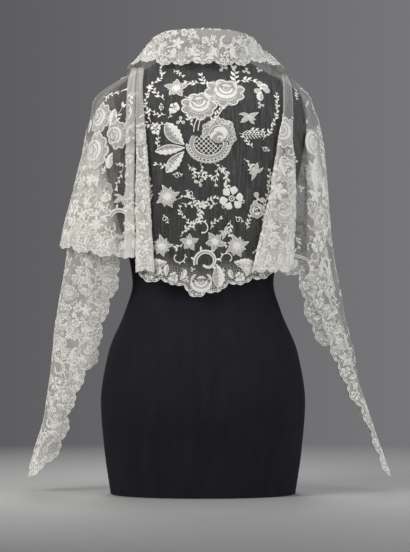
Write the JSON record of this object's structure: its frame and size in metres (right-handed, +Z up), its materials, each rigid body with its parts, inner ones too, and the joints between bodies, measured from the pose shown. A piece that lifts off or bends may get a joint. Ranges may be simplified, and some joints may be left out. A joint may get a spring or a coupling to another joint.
{
  "type": "lace shawl on a dress form",
  "caption": "Sheer lace shawl with a turned-down collar, hanging folds, scalloped hems and long tapering fronts, draped over a smooth limbless dress form.",
  "frame": {"origin": "middle of the dress form's flat base, on the surface it stands on", "axes": "+Z up, -Y the wearer's front, +X the wearer's left; the back at +Y carries the main design"},
  "size_m": [0.6038, 0.2631, 0.7581],
  "materials": {
    "lace": "cream cotton lace on fine net, soft and matt",
    "form_cover": "dark blue-black woven cover, matt"
  },
  "bodies": {
    "root": {"dress_form": "form_cover", "back_panel": "lace", "collar": "lace", "fold_left_outer": "lace", "fold_left_inner": "lace", "fold_right": "lace", "side_left": "lace", "side_right": "lace", "front_left": "lace", "front_right": "lace"}
  },
  "joints": []
}
